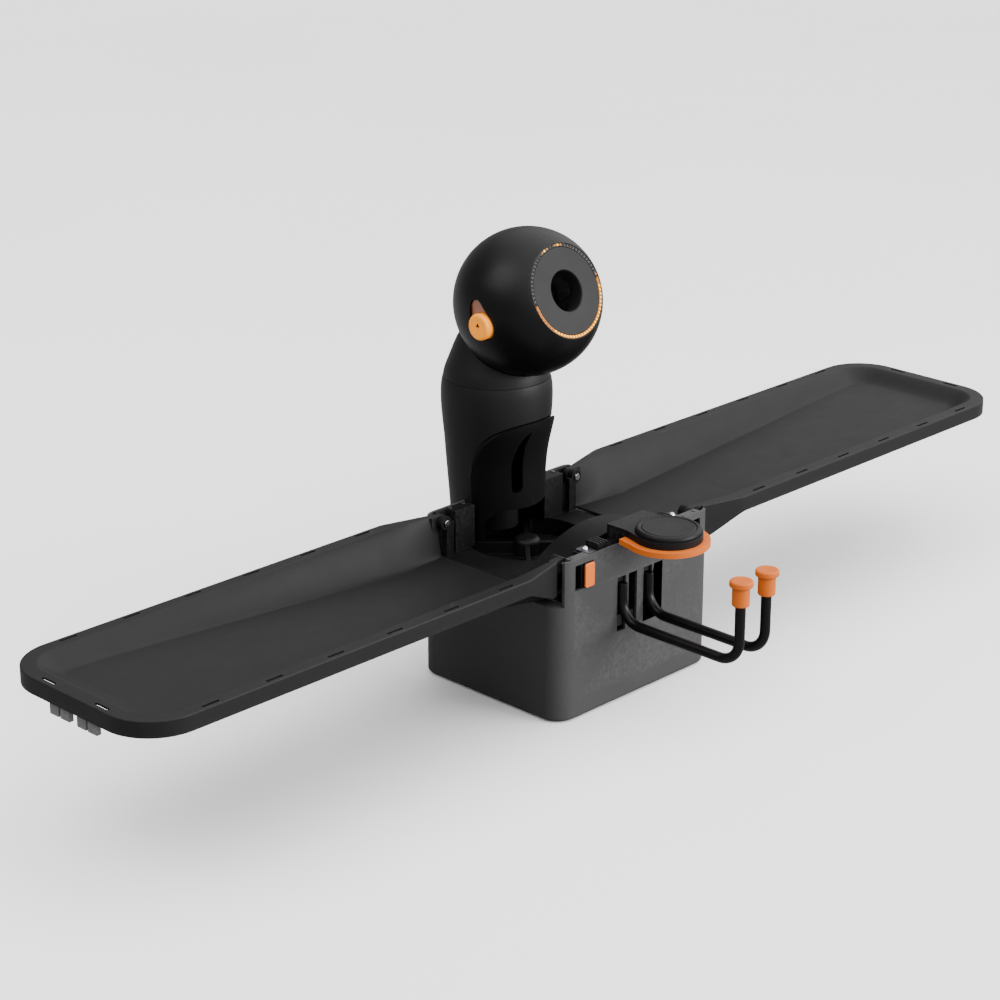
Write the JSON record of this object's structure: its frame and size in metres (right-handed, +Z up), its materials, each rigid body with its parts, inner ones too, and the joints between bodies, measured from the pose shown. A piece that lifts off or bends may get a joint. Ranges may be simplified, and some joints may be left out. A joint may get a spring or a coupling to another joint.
{
  "type": "tennis ball machine",
  "caption": "Table-tennis ball launcher: spherical head on a yawing neck, folding catch trays, hopper base and table clamp hooks.",
  "frame": {"origin": "centre of the underside pad, on the surface the base stands on", "axes": "+Z up, -Y towards the player (muzzle and hooks), +X towards the tray on the machine's own left seen from behind the hooks; the trays spread along X"},
  "size_m": [1.342, 0.4495, 0.4908],
  "materials": {
    "shell_plastic": "satin, fine texture",
    "cover_plastic": "satin",
    "head_plastic": "semi-gloss",
    "deck_plastic": "matte",
    "tray_plastic": "matte, fine texture",
    "black_nylon": "matte",
    "orange_plastic": "satin",
    "orange_rubber": "matte",
    "black_rubber": "matte",
    "lens_amber": "gloss, translucent",
    "ring_diffuser": "satin, translucent",
    "led_amber": "glowing",
    "steel": "polished",
    "rod_coated": "gloss powder coat",
    "metal_dark": "satin",
    "aluminium": "satin",
    "tyre_rubber": "matte",
    "pcb": "satin",
    "battery_wrap": "satin"
  },
  "bodies": {
    "base": {"bottom_cover": "shell_plastic", "rubber_feet": "black_rubber", "cover_screws": "steel", "base_shell": "shell_plastic", "hopper_deck": "deck_plastic", "hinge_pins": "steel", "deck_screws": "metal_dark", "latch_housings": "black_nylon", "hook_guides": "black_nylon", "slot_blocks": "black_nylon", "clamp_blocks": "black_nylon", "clamp_pin": "steel", "clamp_brackets": "metal_dark", "dome_screws": "steel", "feeder_motor": "metal_dark", "battery_pack": "battery_wrap", "control_board": "pcb", "charge_socket": "black_nylon", "column_shell": "shell_plastic", "column_cover": "cover_plastic", "ball_tube": "black_nylon", "yaw_bearing": "black_nylon", "yaw_motor": "metal_dark"},
    "feeder": {"feeder_wheel": "black_nylon"},
    "neck": {"neck_cradle": "shell_plastic", "yoke": "black_nylon", "feed_tube": "black_nylon", "pitch_servo": "black_nylon"},
    "head": {"head_shell_left": "head_plastic", "head_shell_right": "head_plastic", "light_ring": "ring_diffuser", "led_beads": "led_amber", "muzzle": "head_plastic", "side_cups": "black_nylon", "side_discs": "orange_plastic", "side_lenses": "lens_amber", "side_marks": "black_nylon", "chassis_plates": "aluminium", "pivot_shafts": "steel", "launch_motors": "metal_dark"},
    "wheel_top": {"wheel_top_hub": "aluminium", "wheel_top_tyre": "tyre_rubber"},
    "wheel_low": {"wheel_low_hub": "aluminium", "wheel_low_tyre": "tyre_rubber"},
    "tray_left_body": {"tray_left": "tray_plastic", "net_lugs_left": "tray_plastic"},
    "tray_right_body": {"tray_right": "tray_plastic", "net_lugs_right": "tray_plastic"},
    "clamp_tongue": {"clamp_plate": "black_nylon", "clamp_pad": "orange_rubber", "clamp_puck": "black_rubber"},
    "latch_left": {"button_left": "orange_plastic"},
    "latch_right": {"button_right": "orange_plastic"},
    "hook_left": {"hook_rod_left": "rod_coated", "hook_cap_left": "orange_rubber"},
    "hook_right": {"hook_rod_right": "rod_coated", "hook_cap_right": "orange_rubber"}
  },
  "joints": [
    {"name": "tray_left_fold", "type": "hinge", "parent": "base", "child": "tray_left_body", "pos_m": [-0.104, 0, 0.176], "axis": [0, 1, 0], "range_deg": [0, 90]},
    {"name": "tray_right_fold", "type": "hinge", "parent": "base", "child": "tray_right_body", "pos_m": [0.104, 0, 0.176], "axis": [0, -1, 0], "range_deg": [0, 90]},
    {"name": "feeder_spin", "type": "hinge", "parent": "base", "child": "feeder", "pos_m": [0, 0.06, 0.11], "axis": [0, 0, 1], "continuous": true},
    {"name": "head_yaw", "type": "hinge", "parent": "base", "child": "neck", "pos_m": [0, 0.107, 0.31], "axis": [0, 0, 1], "range_deg": [-15, 15]},
    {"name": "head_pitch", "type": "hinge", "parent": "neck", "child": "head", "pos_m": [0, 0.06, 0.4098], "axis": [-1, 0, 0], "range_deg": [-17, 10]},
    {"name": "wheel_top_spin", "type": "hinge", "parent": "head", "child": "wheel_top", "pos_m": [0, 0.05681, 0.45531], "axis": [1, 0, 0], "continuous": true},
    {"name": "wheel_low_spin", "type": "hinge", "parent": "head", "child": "wheel_low", "pos_m": [0, 0.0261, 0.37928], "axis": [1, 0, 0], "continuous": true},
    {"name": "clamp_tongue_lift", "type": "hinge", "parent": "base", "child": "clamp_tongue", "pos_m": [0, -0.092, 0.176], "axis": [-1, 0, 0], "range_deg": [0, 40]},
    {"name": "latch_left_press", "type": "slide", "parent": "base", "child": "latch_left", "axis": [0, 1, 0], "range_m": [0, 0.0025], "stiffness_N_per_m": 800},
    {"name": "latch_right_press", "type": "slide", "parent": "base", "child": "latch_right", "axis": [0, 1, 0], "range_m": [0, 0.0025], "stiffness_N_per_m": 800},
    {"name": "hook_left_slide", "type": "slide", "parent": "base", "child": "hook_left", "axis": [0, 0, -1], "range_m": [0, 0.01]},
    {"name": "hook_right_slide", "type": "slide", "parent": "base", "child": "hook_right", "axis": [0, 0, -1], "range_m": [0, 0.01]}
  ]
}
